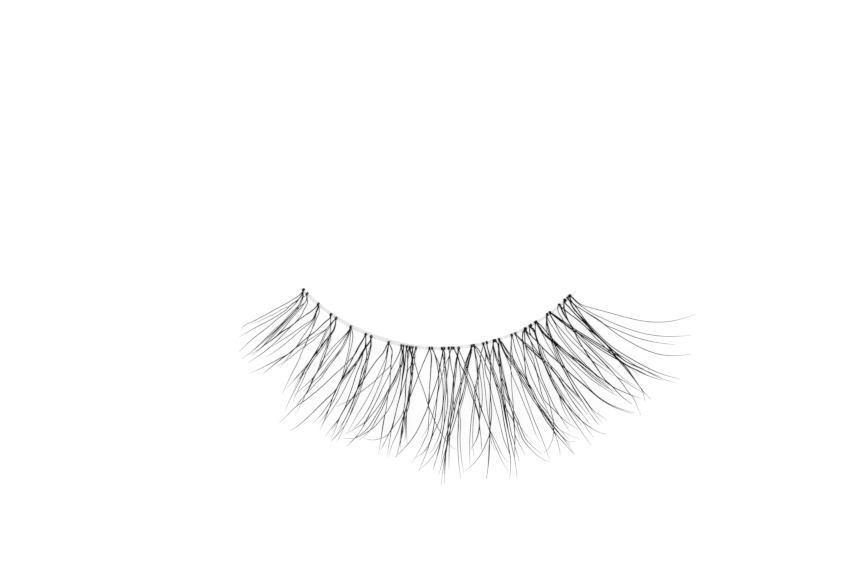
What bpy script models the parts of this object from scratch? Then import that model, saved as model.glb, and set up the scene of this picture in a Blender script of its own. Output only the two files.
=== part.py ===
"""A false eyelash strip, lying on its underside: a clear curved band and the tufts tied to it.

Metres, +Z up. The origin is the middle of the band's underside. The band curves in plan round
a point on +Y, so that its hollow side faces +Y and the hair runs out towards -Y. The inner
corner of the eye is at -X, where the hair is short, and the outer corner at +X.
"""

import math
from collections import namedtuple

import bmesh
import bpy
from mathutils import Vector

MM = 0.001
UP = Vector((0, 0, 1))

# The band, a thin ribbon that lies flat. Its length is measured along its curve.
BAND_LENGTH = 32.3 * MM
BAND_RADIUS = 19.3 * MM
BAND_WIDTH = 0.45 * MM
BAND_THICKNESS = 0.12 * MM
BAND_CHAMFER = 0.04 * MM
BAND_STATIONS = 61

# The knots. Each grips the outer edge of the band and laps over its upper face.
KNOT_DEPTH = 0.22 * MM
KNOT_LAP = 0.18 * MM
KNOT_RIM = 0.06 * MM
SEAT_CLEARANCE = 0.03 * MM
FLOOR_CLEARANCE = 0.02 * MM

# The locks of hair, each four-sided and tapered.
LASH_LENGTH = 16.0 * MM
ROOT_HEIGHT = 0.42 * MM
LOCK_WIDTH = 0.10 * MM
LOCK_THICKNESS = 0.10 * MM
LOCK_GAP = 0.03 * MM
TIP_THICKNESS = 0.04 * MM
LOCK_SEGMENTS = 8

# The curl, the height that a full-length lock gains, and where along it the belly hangs lowest.
CURL_RISE = 4.6 * MM
CURL_POWER = 2.6
BELLY_SHARE = 0.26

# Locks of neighbouring tufts cross. Each tuft's fan is tilted like a louvre, by enough to keep
# crossing locks this far apart.
CROSS_CLEARANCE = 0.08 * MM

# Every second lock of a tuft is this much shorter, which gives the fringe its uneven edge.
STAGGER = 0.13

# Width of the band at a few places along it, as a share of its full width.
Width = namedtuple("Width", "place share")
BAND_WIDTHS = (
    Width(0.00, 0.40),
    Width(0.05, 0.75),
    Width(0.30, 1.00),
    Width(0.50, 0.80),
    Width(0.75, 0.65),
    Width(0.97, 0.55),
    Width(1.00, 0.40),
)

# One row for each tuft. Place is its share of the band's length, locks how many it has. Leans
# are in degrees from straight out, positive towards +X, and reaches are shares of the full
# length, both for the tuft's first and last lock. Sweep is how far each lock turns in plan.
Tuft = namedtuple("Tuft", "place locks lean_from lean_to reach_from reach_to sweep")
TUFTS = (
    Tuft(0.022, 5, -11, 10, 0.52, 0.64, -16),
    Tuft(0.080, 5, -10, 20, 0.53, 0.70, -12),
    Tuft(0.144, 6, -18, 15, 0.69, 0.76, -6),
    Tuft(0.210, 5, -10, 11, 0.80, 0.72, -8),
    Tuft(0.275, 6, -22, 7, 0.84, 0.80, -14),
    Tuft(0.343, 5, -22, 11, 0.75, 0.80, -4),
    Tuft(0.393, 6, -22, 3, 0.80, 0.78, -10),
    Tuft(0.421, 5, -3, 29, 0.88, 0.79, 4),
    Tuft(0.479, 5, -15, 0, 0.87, 0.77, -18),
    Tuft(0.518, 4, -24, -5, 0.89, 0.87, -12),
    Tuft(0.552, 7, -22, 19, 0.88, 0.92, -6),
    Tuft(0.615, 6, -23, -6, 0.94, 0.90, 4),
    Tuft(0.655, 5, -22, -5, 0.97, 1.00, 2),
    Tuft(0.692, 7, -13, 18, 1.00, 0.97, 4),
    Tuft(0.751, 6, -23, 17, 0.92, 0.88, 10),
    Tuft(0.801, 8, -18, 22, 0.97, 0.97, 8),
    Tuft(0.836, 5, -5, 19, 0.84, 0.90, 10),
    Tuft(0.885, 6, 2, 20, 0.86, 0.90, 12),
    Tuft(0.930, 4, -7, 11, 0.98, 0.96, 4),
    Tuft(0.965, 8, -15, 36, 1.00, 0.87, 16),
)


def clear_scene():
    for obj in list(bpy.data.objects):
        bpy.data.objects.remove(obj, do_unlink=True)


def plain_material(name, color, roughness, alpha=1.0):
    material = bpy.data.materials.new(name)
    material.use_nodes = True
    shader = material.node_tree.nodes["Principled BSDF"]
    shader.inputs["Base Color"].default_value = (*color, 1.0)
    shader.inputs["Roughness"].default_value = roughness
    shader.inputs["Metallic"].default_value = 0.0
    shader.inputs["Alpha"].default_value = alpha
    return material


def blend(first, last, share):
    return first + (last - first) * share


def add_object(name, bm, material):
    bmesh.ops.recalc_face_normals(bm, faces=bm.faces)
    mesh = bpy.data.meshes.new(name)
    bm.to_mesh(mesh)
    bm.free()
    mesh.materials.append(material)
    mesh.shade_smooth()
    mesh.set_sharp_from_angle(angle=math.radians(50))
    obj = bpy.data.objects.new(name, mesh)
    bpy.context.scene.collection.objects.link(obj)
    return obj


def bearing(place):
    """Angle of a place on the band as seen from the centre of its curve, 0 at the middle."""
    return (place - 0.5) * BAND_LENGTH / BAND_RADIUS


def at(out, angle, height):
    """The point that lies this far outside the band's centre line, at this bearing."""
    radius = BAND_RADIUS + out
    return Vector((radius * math.sin(angle), BAND_RADIUS - radius * math.cos(angle), height))


def skin(bm, sections):
    """Joins like sections with quads, closes both ends, and returns the rows of quads."""
    loops = [[bm.verts.new(point) for point in section] for section in sections]
    rows = []
    for near, far in zip(loops, loops[1:]):
        count = len(near)
        rows.append(
            [
                bm.faces.new((near[i], near[(i + 1) % count], far[(i + 1) % count], far[i]))
                for i in range(count)
            ]
        )
    bm.faces.new(loops[0][::-1])
    bm.faces.new(loops[-1])
    return rows


def band_width(place):
    for low, high in zip(BAND_WIDTHS, BAND_WIDTHS[1:]):
        if place <= high.place:
            share = (place - low.place) / (high.place - low.place)
            return BAND_WIDTH * blend(low.share, high.share, share)
    return BAND_WIDTH * BAND_WIDTHS[-1].share


def band_section(place):
    """The ribbon across its length: flat below, chamfered above, its outer edge always in line."""
    outer = BAND_WIDTH / 2
    inner = outer - band_width(place)
    shoulder = BAND_THICKNESS - BAND_CHAMFER
    profile = (
        (outer, 0.0),
        (outer, shoulder),
        (outer - BAND_CHAMFER, BAND_THICKNESS),
        (inner + BAND_CHAMFER, BAND_THICKNESS),
        (inner, shoulder),
        (inner, 0.0),
    )
    return [at(out, bearing(place), height) for out, height in profile]


def make_band(material):
    bm = bmesh.new()
    last = BAND_STATIONS - 1
    skin(bm, [band_section(i / last) for i in range(BAND_STATIONS)])
    return add_object("band", bm, material)


# Where the locks leave the knots, measured out from the band's centre line.
FRONT = BAND_WIDTH / 2 + SEAT_CLEARANCE + KNOT_DEPTH

# The louvre's slope, from the two tufts that stand closest together.
CLOSEST = min(b.place - a.place for a, b in zip(TUFTS, TUFTS[1:])) * BAND_LENGTH
LOUVRE = (LOCK_THICKNESS + CROSS_CLEARANCE) / CLOSEST


def column_angle(tuft, column):
    """Bearing of the line between two columns of a knot, one column for each lock."""
    along = (column - tuft.locks / 2) * (LOCK_WIDTH + LOCK_GAP)
    return bearing(tuft.place) + along / BAND_RADIUS


def louvre_height(tuft, angle):
    return LOUVRE * BAND_RADIUS * (angle - bearing(tuft.place))


def lock_plan(tuft, number):
    """Stations of a lock as (share of its length, distance out, bearing), from a polar walk."""
    share = number / (tuft.locks - 1)
    lean = math.radians(blend(tuft.lean_from, tuft.lean_to, share))
    sweep = math.radians(tuft.sweep)
    reach = blend(tuft.reach_from, tuft.reach_to, share) * (1.0 - STAGGER * (number % 2))
    length = LASH_LENGTH * reach - FRONT
    root_angle = column_angle(tuft, number + 0.5)
    root_radius = BAND_RADIUS + FRONT
    stations = []
    for step in range(LOCK_SEGMENTS + 1):
        run = step / LOCK_SEGMENTS
        heading = lean + sweep * (run - 1.0)
        ahead = root_radius + length * run * math.cos(heading)
        aside = length * run * math.sin(heading)
        out = math.hypot(ahead, aside) - BAND_RADIUS
        stations.append((run, out, root_angle + math.atan2(aside, ahead)))
    return stations


def thickness(run):
    return blend(LOCK_THICKNESS, TIP_THICKNESS, run**1.5)


def reach_share(out):
    return max(out - FRONT, 0.0) / LASH_LENGTH


def belly(out):
    """How much of the fringe's sag is felt this far out: none at the knots, all at the belly."""
    share = reach_share(out) / BELLY_SHARE
    return share * math.exp(1.0 - share)


def stiff_height(tuft, out, angle):
    """Height of a tuft's fan if it didn't sag onto the surface."""
    curl = CURL_RISE * reach_share(out) ** CURL_POWER
    return ROOT_HEIGHT + curl + louvre_height(tuft, angle)


def find_sag():
    """The sag that brings the lowest lock down to the surface, and no further."""
    room = []
    for tuft in TUFTS:
        for number in range(tuft.locks):
            for run, out, angle in lock_plan(tuft, number)[1:]:
                free = stiff_height(tuft, out, angle) - thickness(run) / 2 - FLOOR_CLEARANCE
                room.append(free / belly(out))
    return min(room)


SAG = find_sag()


def lock_points(tuft, number):
    return [
        (run, at(out, angle, stiff_height(tuft, out, angle) - SAG * belly(out)))
        for run, out, angle in lock_plan(tuft, number)
    ]


def knot_section(tuft, column):
    """A knot across the band: a block outside the band's edge with a lap over the band."""
    edge = BAND_WIDTH / 2
    angle = column_angle(tuft, column)
    tilt = LOUVRE * tuft.locks / 2 * (LOCK_WIDTH + LOCK_GAP)
    top = ROOT_HEIGHT + tilt + LOCK_THICKNESS / 2 + 2 * KNOT_RIM
    profile = (
        (FRONT, FLOOR_CLEARANCE),
        (FRONT, top - KNOT_RIM),
        (FRONT - KNOT_RIM, top),
        (edge - KNOT_LAP + KNOT_RIM, top),
        (edge - KNOT_LAP, top - KNOT_RIM),
        (edge - KNOT_LAP, BAND_THICKNESS + SEAT_CLEARANCE),
        (edge + SEAT_CLEARANCE, BAND_THICKNESS + SEAT_CLEARANCE),
        (edge + SEAT_CLEARANCE, FLOOR_CLEARANCE),
    )
    return [at(out, angle, height) for out, height in profile]


def grow_lock(bm, facet, points):
    """Extrudes a knot's front facet along a lock, keeping each corner in its own quarter."""
    middle = facet.calc_center_median()
    across = UP.cross(facet.normal).normalized()
    quarters = []
    for vert in facet.verts:
        offset = vert.co - middle
        quarters.append((math.copysign(1, offset.dot(across)), math.copysign(1, offset.z)))
    centres = [point for run, point in points]
    for step, (run, centre) in enumerate(points):
        if step == 0:
            side, up = across, UP
        else:
            along = centres[min(step + 1, len(centres) - 1)] - centres[step - 1]
            side = UP.cross(along).normalized()
            up = along.cross(side).normalized()
        half = thickness(run) / 2
        half_width = half * LOCK_WIDTH / LOCK_THICKNESS
        facet = bmesh.ops.extrude_discrete_faces(bm, faces=[facet])["faces"][0]
        for vert, (aside, above) in zip(facet.verts, quarters):
            vert.co = centre + side * aside * half_width + up * above * half


def make_tuft(name, tuft, material):
    bm = bmesh.new()
    rows = skin(bm, [knot_section(tuft, column) for column in range(tuft.locks + 1)])
    bmesh.ops.recalc_face_normals(bm, faces=bm.faces)
    for number, row in enumerate(rows):
        grow_lock(bm, row[0], lock_points(tuft, number))
    return add_object(name, bm, material)


def main():
    clear_scene()
    film = plain_material("band_film", (0.86, 0.86, 0.87), 0.35, alpha=0.55)
    hair = plain_material("lash_hair", (0.012, 0.011, 0.012), 0.42)
    strip = bpy.data.objects.new("false_eyelash_strip", None)
    bpy.context.scene.collection.objects.link(strip)
    pieces = [make_band(film)]
    for number, tuft in enumerate(TUFTS, start=1):
        pieces.append(make_tuft(f"tuft_{number:02d}", tuft, hair))
    for piece in pieces:
        piece.parent = strip


main()
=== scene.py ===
"""The false eyelash strip as it looks: fine curled fibres in tied tufts on a clear frosted band.

The hairs follow a chart of the photograph, one row for each hair or pair of hairs. Each row gives
the pixels that the hair passes. A pixel becomes a place in space where the camera's line of sight
meets the curled sheet that all the hairs lie in, so the strip keeps its depth from every side.
"""

import math
import random
from collections import namedtuple

import bpy
import numpy as np
from mathutils import Euler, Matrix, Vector


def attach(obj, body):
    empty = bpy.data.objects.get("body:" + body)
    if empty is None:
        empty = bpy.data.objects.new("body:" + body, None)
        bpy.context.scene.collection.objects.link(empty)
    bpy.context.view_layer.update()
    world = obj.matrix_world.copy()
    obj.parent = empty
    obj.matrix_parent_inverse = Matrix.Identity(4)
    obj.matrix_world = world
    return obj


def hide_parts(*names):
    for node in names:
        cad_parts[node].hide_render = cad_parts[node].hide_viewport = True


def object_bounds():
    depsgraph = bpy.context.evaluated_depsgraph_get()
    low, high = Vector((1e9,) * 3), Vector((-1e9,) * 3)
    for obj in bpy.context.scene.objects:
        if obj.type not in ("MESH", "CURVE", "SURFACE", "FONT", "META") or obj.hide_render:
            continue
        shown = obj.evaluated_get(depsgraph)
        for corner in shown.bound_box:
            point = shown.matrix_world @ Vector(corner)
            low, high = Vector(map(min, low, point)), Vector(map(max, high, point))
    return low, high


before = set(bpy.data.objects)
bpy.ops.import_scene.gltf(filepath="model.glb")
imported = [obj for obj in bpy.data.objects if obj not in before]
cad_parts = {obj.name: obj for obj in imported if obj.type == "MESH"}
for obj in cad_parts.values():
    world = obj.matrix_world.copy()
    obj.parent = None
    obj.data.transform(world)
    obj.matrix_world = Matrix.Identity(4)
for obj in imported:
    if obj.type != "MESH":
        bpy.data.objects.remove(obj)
CAD_BOX = [list(corner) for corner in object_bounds()]

MM = 0.001
UP = Vector((0, 0, 1))
SIDEWAYS = Vector((1, 0, 0))

# The photograph: its size, the size of a pixel at the strip, and where it shows the origin.
PHOTO_WIDTH = 860
PHOTO_HEIGHT = 573
PIXEL = 0.105 * MM
ORIGIN_PIXEL = (437.3, 347.9)

# The camera: how steeply it looks down, its turn, its distance, its sensor and how far it sees.
ELEVATION = math.radians(75)
YAW = math.radians(0.73)
CAMERA_DISTANCE = 600 * MM
SENSOR_WIDTH = 36.0
NEAREST = 1 * MM
FARTHEST = 10.0

# The band, as the model has it: the radius of its curve in plan, and its thickness.
BAND_RADIUS = 19.3 * MM
BAND_THICKNESS = 0.12 * MM

# The sheet that the hairs lie in. It leaves the knots, sags to the surface, then curls up.
LASH_LENGTH = 16.0 * MM
ROOT_HEIGHT = 0.30 * MM
CURL_RISE = 4.6 * MM
CURL_POWER = 2.6
BELLY_SHARE = 0.26
BELLY_DROP = 0.16 * MM
LOWEST = 0.05 * MM

# The most that a hair rides above the sheet, and how soon along its length it gets there.
LIFT_SPREAD = 0.45 * MM
LIFT_RATE = 2.5

# Rounds of the search for the point where a line of sight meets the sheet.
SIGHT_ROUNDS = 12

# One hair: its radius, its taper towards the tip, how much thicker it is at the root, and its mesh.
HAIR_RADIUS = 0.034 * MM
TAPERED_SHARE = 0.27
TAPER_POWER = 1.4
TIP_SHARE = 0.25
ROOT_SHARE = 0.18
ROOT_SWELL = 0.35
HAIR_SIDES = 6
HAIR_STEPS = 26
LASH_SEED = 11

# The second hair of a pair: its gap from the first, in pixels, how soon it has it, how much further
# it leaves the first towards the tip, and how much of the first's length it reaches.
PAIR_GAP = 1.3
PAIR_GAP_RATE = 6
PAIR_SPREAD = 2.6
PAIR_SPREAD_POWER = 3
PAIR_REACH = (0.86, 0.97)
FEWEST_POINTS = 4

# A knot: turns of fibre over the band, from foot to foot, spread less where knots are crowded.
KNOT_TURNS = 4
KNOT_STEPS = 12
KNOT_SPREAD = 0.10 * MM
KNOT_CROWDING = 0.30
KNOT_JITTER = 0.02 * MM
KNOT_DEPTH = 0.31 * MM
KNOT_INNERMOST = 0.02 * MM
KNOT_OUTERMOST = 0.20 * MM
KNOT_FOOT = 0.05 * MM
KNOT_TOP = 0.26 * MM
KNOT_ROUNDNESS = 0.8
KNOT_FOOT_SPREAD = 0.55
KNOT_FIBRE = 0.034 * MM
KNOT_SEED = 5

# The studio: a wide floor just below the part, even white surroundings and one soft light.
FLOOR_SIZE = 3.0
FLOOR_DROP = 0.01 * MM
SKY_STRENGTH = 0.62
SOFTBOX_SIZE = 1.2
SOFTBOX_POWER = 3.0
SOFTBOX_PLACE = Vector((-0.3, -0.4, 1.0))

# Each knot's place on the band, in pixels of the photograph. H4, J2, J3, K5, K6, M3, O4, S2, T2, U2
# and Y4 are second knots of close ties. No hair of the chart leaves them.
KNOTS = {
    "A1": (303.6, 289.8), "A2": (307.2, 293.8),
    "B1": (318.4, 304.1),
    "C1": (331.0, 314.7), "C2": (336.2, 318.4),
    "D1": (350.8, 327.0),
    "E1": (365.7, 334.5), "E2": (371.2, 336.8),
    "F1": (388.7, 342.6),
    "G1": (401.2, 346.3), "G2": (403.5, 346.4), "G3": (406.7, 347.2),
    "H1": (409.4, 347.4), "H2": (412.8, 347.7), "H3": (416.1, 348.0), "H4": (411.0, 347.5),
    "I1": (429.5, 348.4), "I2": (432.0, 348.2),
    "J1": (442.9, 348.4), "J2": (441.5, 348.4), "J3": (444.4, 348.3),
    "K1": (448.7, 348.0), "K2": (451.4, 348.0), "K3": (453.9, 348.0), "K4": (458.0, 348.2),
    "K5": (452.6, 348.0), "K6": (459.3, 348.0),
    "M1": (471.4, 346.0), "M2": (474.1, 345.4), "M3": (472.8, 345.6),
    "N1": (483.3, 343.7), "N2": (486.7, 342.6),
    "O1": (493.2, 340.9), "O2": (495.5, 340.4), "O3": (499.0, 339.5), "O4": (494.3, 340.6),
    "Q1": (511.6, 335.4), "Q2": (515.3, 333.9),
    "S1": (524.6, 328.9), "S2": (526.0, 328.6), "T1": (529.6, 326.4), "T2": (531.0, 325.2),
    "U1": (536.3, 321.8), "U2": (534.8, 322.8),
    "V1": (546.5, 313.5), "V2": (549.3, 312.0),
    "X1": (558.3, 303.7),
    "Y1": (563.7, 298.8), "Y2": (566.4, 297.2), "Y3": (569.2, 294.6), "Y4": (568.0, 295.8),
}

# The tuft node that each letter's knots stand for. S and T are tied so close that they share one.
TUFT_LETTERS = "A B C D E F G H I J K M N O Q ST U V X Y".split()
TUFTS = {
    letter: f"tuft_{number:02d}"
    for number, letters in enumerate(TUFT_LETTERS, start=1)
    for letter in letters
}

Lash = namedtuple("Lash", "knot strands weight path")
LASHES = []


def one(knot, *path, weight=1.0):
    """Charts a hair: its knot, the pixels that it passes up to its tip, and its relative thickness."""
    LASHES.append(Lash(knot, 1, weight, path))


def pair(knot, *path, weight=1.0):
    """Charts two hairs that leave a knot side by side."""
    LASHES.append(Lash(knot, 2, weight, path))


one("A1", (302.2, 292.2), (300, 294.6), (296.8, 297.1), (292.8, 299.6), (286.9, 303.2), (280, 306.8),
    (270, 312.4), (260, 317.8), (250.2, 322.6), (243.1, 326.6), (240.6, 331.3), weight=1.1)
one("A1", (300.8, 296.2), (297.4, 301), (293, 303.6), (288.5, 306.8), (284.2, 308.3), (276, 313),
    (267, 317.2), (258.8, 321.3), (250, 324.6), weight=0.75)
one("A1", (301, 296), (298.8, 298.9), (294.3, 302.4), (290, 305.4), (287.6, 308.4), (281.3, 313),
    (276.3, 316.4), (270, 320), (260, 325.3), (250, 330.6), (239.4, 336.9), weight=1.1)
one("A1", (301.2, 296.4), (298.9, 299), (297, 301.9), (293.8, 305.4), (288, 310.8), (277.5, 318.8),
    (270, 325.3), (260, 333.1), (250, 341.3), (238.8, 351.9), weight=1.1)
pair("A1", (302.8, 293), (303.1, 295.2), (301.8, 298.6), (299.6, 303.5), (298, 307), (293.8, 312),
    (285.9, 320.6), (278.5, 327.8), (270, 336), (262.5, 342.5), (255, 348.8), (241.3, 359.4), weight=0.95)
one("A1", (302.8, 293.4), (303, 295.4), (301.6, 298.8), (299.4, 303.9), (296, 308.2), (289.5, 314.6),
    (282.5, 322.5), (275, 328.8), (268.8, 335), (260, 343.8), (251, 352), weight=0.85)
one("A2", (305.4, 296), (303.6, 297), (301.8, 299.2), (299.3, 304.6), (294.5, 311), (286.5, 319.4),
    (279.5, 326.3), (271.3, 333.8), (260.6, 343.1), weight=0.8)
one("A2", (306.8, 296.6), (306.8, 299.4), (304, 303.4), (300.3, 306.2), (296.6, 309.4), (290, 316.6),
    (284, 323), (276.3, 331), (268.8, 338.8), (264.4, 343.8))
one("A2", (306.8, 296.6), (306.8, 299.4), (304.2, 303.4), (301.4, 307.4), (297.5, 311.9), (290, 320.6),
    (281.6, 330.6), (275, 337.2), (265.6, 344.4), (258.1, 350), (249, 354.6), weight=1.1)
one("A2", (306.9, 296.8), (307.6, 301.8), (306.7, 304.6), (304.4, 309), (301.9, 314.4), (297.5, 320),
    (290, 326.9), (282.5, 331.8), (275, 337.7), (266, 344.2), (258.5, 349.8), weight=1.1)

one("B1", (315.6, 307.5), (312.5, 310.3), (308.8, 312.8), (301.3, 318.1), (293.8, 323.8), (289.5, 327.2),
    (282.5, 331.3), (275, 337.4), (265, 344.7), (257.5, 350.3), (252.5, 353.1), weight=1.4)
one("B1", (315.6, 307.5), (312.5, 310.5), (305, 315.5), (297.5, 320.8), (291, 326.6), (286, 331.6),
    (279, 338.8), (270, 347.2), (260, 354.9), (247.5, 363.1), weight=1.1)
one("B1", (317.8, 308.6), (316.3, 311.3), (314.4, 315.6), (311.9, 320), (308.1, 322.5), (299.4, 328.1),
    (290, 335), (280, 341.3), (271.9, 346.9))
one("B1", (318, 308.8), (316.4, 311.5), (314.7, 316), (312.5, 320.2), (305, 326.9), (296.3, 334.1),
    (287.5, 341.9), (277.5, 349.6), (266.5, 356.8))
one("B1", (317.6, 308), (315.6, 312.5), (315.3, 315.6), (313.8, 320), (307.5, 330), (304.4, 334.4),
    (298.8, 343.1), (295.6, 347.8), (286.3, 355), (276.3, 360.4), (262.5, 367.5), (250, 373.4), weight=1.1)
one("B1", (319.3, 309.6), (319.1, 313.1), (316.9, 317.5), (314.7, 323.4), (312.5, 328.1), (310.9, 331.9),
    (307.5, 338.8), (305.4, 345.4), (302.3, 350.9), (300, 356.9), (295, 367.5), (290.3, 376.6),
    (286.6, 384.8), (281.9, 393.8))
one("B1", (318.2, 308.4), (316.8, 312), (315.6, 317), (314.2, 322), (312.2, 328.6), (309.6, 335.2),
    (306.4, 342), (303.3, 349), (301.2, 354), weight=0.9)

one("C1", (330.3, 317.5), (326.9, 320.6), (320.6, 326.3), (316.9, 330), (309.4, 335.9), (303.8, 340.6),
    (295.4, 348), (286.5, 355.2), (280, 360), (270.6, 367.5), (261.9, 374.4), weight=1.4)
one("C1", (330.3, 317.5), (326.8, 320.9), (320.4, 326.7), (313, 333.4), (305, 339.6), (297.5, 345.9),
    (291.3, 352), (281.9, 357.2), (270, 363.8), (256.3, 370.6))
one("C1", (330.6, 318.4), (330.9, 321.3), (330, 324.4), (326.6, 328.8), (319.4, 333.2), (310.6, 339),
    (301.3, 344.6), (295, 348.6), (289.4, 355.4), (286.3, 360), (280, 367.5), weight=0.9)
one("C1", (330.7, 318.6), (330.8, 321.5), (329.8, 324.7), (326.4, 329.2), (320.6, 333.8), (313.8, 340),
    (306.3, 345.3), (298.8, 350.6), (290, 358), (283.1, 362.6), (276.3, 366.9), weight=0.9)
one("C1", (330.7, 318.8), (330.8, 322.4), (330.6, 326), (330.2, 332), (328.6, 336.6), (323.8, 343.2),
    (315, 354.4), (309.2, 362.4), (303.4, 369.4), (297.8, 376), (290, 384.6), (287.5, 387.5))
pair("C2", (335, 319.7), (333.1, 320.9), (330.6, 324.4), (326.9, 328.8), (325, 332.4), (321.5, 340.6),
    (317.8, 348.8), (312.8, 357.5), (308.6, 363.6), (304.2, 370), (299.4, 373.8), (292.5, 381.9),
    (287.5, 387.2), weight=0.9)
one("C2", (334.8, 319.9), (330.2, 324.9), (326.6, 329.4), (323.4, 336.6), (319.6, 345), (314.6, 353.6),
    (309.4, 361.9), (305, 369.4), (300, 380), (294.4, 391))
pair("C2", (335.9, 319.4), (335.3, 323.8), (333.1, 330), (330.6, 333.4), (326.3, 339.4), (321.3, 347.5),
    (315.2, 354.9), (309.3, 362.6), (305, 369.9), (302.5, 375.6), (297.5, 385), (291.6, 396.2),
    (287.5, 404.8), (284.4, 412.5), weight=0.95)
one("C2", (335.9, 319.6), (335.2, 324.2), (333, 330.4), (328.9, 336.3), (324.6, 341.2), (317, 352.2),
    (311.6, 359.6), (306, 368.6), (301.2, 375.2), (296.6, 383.6), (294, 388))
one("C2", (335.7, 321), (334.6, 327.4), (331.3, 333.8), (330.6, 338.1), (328.1, 346.3), (325, 354.4),
    (321.9, 363.1), (319.7, 368.1), (316.3, 373.6), (312.8, 378.6), (309.4, 387.5), (304.6, 395.4),
    (297.5, 403.8))
one("C2", (335.5, 323), (333, 330.6), (330.4, 335.8), (327.5, 341.9), (325.6, 348.8), (321.9, 357.5),
    (319, 366.9), (316.1, 373.6), (312.6, 379.4), (306.9, 392.5), (302, 398.8), (295.6, 407.4))
one("C2", (334.9, 326), (331.6, 333.2), (328.8, 340), (327, 348), (324.4, 357), (322.6, 362), (318, 370.6),
    (313.1, 378.1), (310, 386.2), (306.2, 393), (303.1, 400), (298.1, 409.4), (295.3, 414.7))

one("D1", (350, 328.6), (348.1, 331.3), (343.1, 336.9), (334.4, 345.6), (326.3, 355.6), (321, 363.1),
    (319.4, 368.6), (316.3, 373.4), (309.4, 381.9), (305, 385.6), (299.4, 390.6), (293.1, 396.3))
one("D1", (349.8, 329.4), (347.5, 333.1), (340, 343.1), (332.5, 352.5), (324.4, 363.1), (319.8, 368.9),
    (316.1, 374), (311.8, 383.1), (307.5, 391.9), (302.6, 398.2), (297.6, 403.6))
pair("D1", (349.4, 332.5), (347.5, 338.1), (342.8, 348.1), (336.9, 356.3), (330.6, 364.1), (326.9, 369.4),
    (323.8, 374.4), (315, 384.2), (309.4, 390.6), (304.4, 395.9), (298.8, 401.9))
one("D1", (349.6, 331.8), (346.6, 337.2), (341.6, 347.6), (335.4, 357.4), (328.8, 366.2), (323.1, 373.1),
    (318.1, 377.5), (313.6, 382), weight=0.8)
one("D1", (350.3, 334.4), (350, 339.4), (348.8, 348.8), (346.6, 358.8), (345, 365), (343.1, 373.8),
    (340.8, 380.4), (337, 388), (333.4, 396), (330.6, 404.4), (326.3, 414.4), (322, 425))
one("D1", (351.7, 329.6), (352.8, 333.6), (352.8, 338.1), (350.6, 349.4), (347.8, 360.6), (345, 371.9),
    (342.6, 377), (338.8, 384.6), (334.4, 394.4), (328.1, 405), (318.1, 418.1))

one("E1", (363.4, 338.6), (360.6, 343.8), (358.1, 348.8), (354.4, 355.4), (350, 359.6), (345.9, 364.2),
    (337.5, 371.9), (328.8, 380), (320, 388.3), (310, 396.5), (303.8, 401.2), (296.3, 406.3),
    (288.1, 414.4), (278.8, 423.1), weight=1.25)
one("E1", (363.2, 338.8), (359.6, 344.6), (355.4, 352.4), (352, 360), (347.5, 368.1), (344.8, 374.4),
    (340.8, 380.8), (338, 385.6), (333.8, 394.4), (329.7, 406.9), (324.7, 420), (319.4, 431.3))
one("E1", (362.4, 341.4), (356.4, 350.8), (350, 363.1), (346.4, 370), (341.6, 379.2), (336.4, 388.8),
    (326.9, 398.8), (315, 410.4), (302, 422.4), (290.6, 430.9), weight=1.1)
one("E1", (365.9, 339.4), (365.4, 344.6), (365, 347), (363.4, 351.6), (361.6, 360.4), (356.9, 372.5),
    (352.5, 386.3), (348.1, 398.8), (344.4, 408.8), (339.6, 417.6), (336.9, 425), (331.6, 438.1),
    weight=1.3)
one("E1", (365.8, 339), (366.3, 348.6), (366.9, 355.6), (365, 362.5), (361.3, 374.4), (358.4, 385),
    (355.6, 393), (349, 402.6), (344.6, 409), (340, 417), (331.3, 428.3), (325, 436.9), weight=1.2)
pair("E2", (370.6, 340), (367.5, 344.4), (365, 347.4), (360.6, 354.4), (356.3, 361.9), (351.9, 366.9),
    (345, 375.8), (340.6, 380.8), (336.9, 388.6), (332.4, 398.2), (326.3, 407.6), (321.5, 414.4),
    (313, 423), weight=1.1)
one("E2", (370.5, 340.2), (365.4, 347), (361.4, 353.6), (358, 359.6), (351, 369.8), (344.2, 377),
    (338.8, 384.8), (336, 389.6), (331.3, 394.4), (320, 405.2), (310, 415.3), (300, 424.2), (290.6, 431),
    weight=1.2)
one("E2", (370.6, 340.2), (366, 346.6), (363.4, 350.6), (359.5, 358.4), (355, 367.5), (346.3, 385),
    (338.8, 399.4), (332.5, 408.8), (327.5, 416.6), (323.4, 422.4))
pair("E2", (371, 339.2), (371.3, 343.6), (370.6, 348.8), (368.6, 355.4), (367.5, 363.1), (365.6, 371),
    (363.1, 379.8), (360, 387.6), (355.2, 400.6), (351, 412.2), (345, 425), (340, 431.8), (334.4, 438),
    (329.4, 443.1))
one("E2", (371.1, 339.4), (371.4, 344.6), (370.4, 350.4), (368.6, 358), (364.8, 371.6), (360, 381.6),
    (357, 390), (352.8, 402.6), (349.4, 410.6), (342.5, 424.4), (336.9, 434.6), (331.3, 440.8))
one("E2", (371, 341), (370.6, 347), (368, 358.6), (363.8, 365), (360.6, 376.6), (357.5, 388.9),
    (354.6, 395.6), (350.6, 399.8), (346.6, 405.8), (343.8, 410.4), (340.4, 416.4), (335, 430),
    (331.8, 437.6), weight=1.1)
one("E2", (371.2, 342), (371, 347.4), (369, 356), (366.9, 366), (364.6, 376), (359.8, 392.4), (355, 404.6),
    (348.6, 418), (344.4, 426.3), (339.4, 437.5), (336.3, 443.1))

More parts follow.
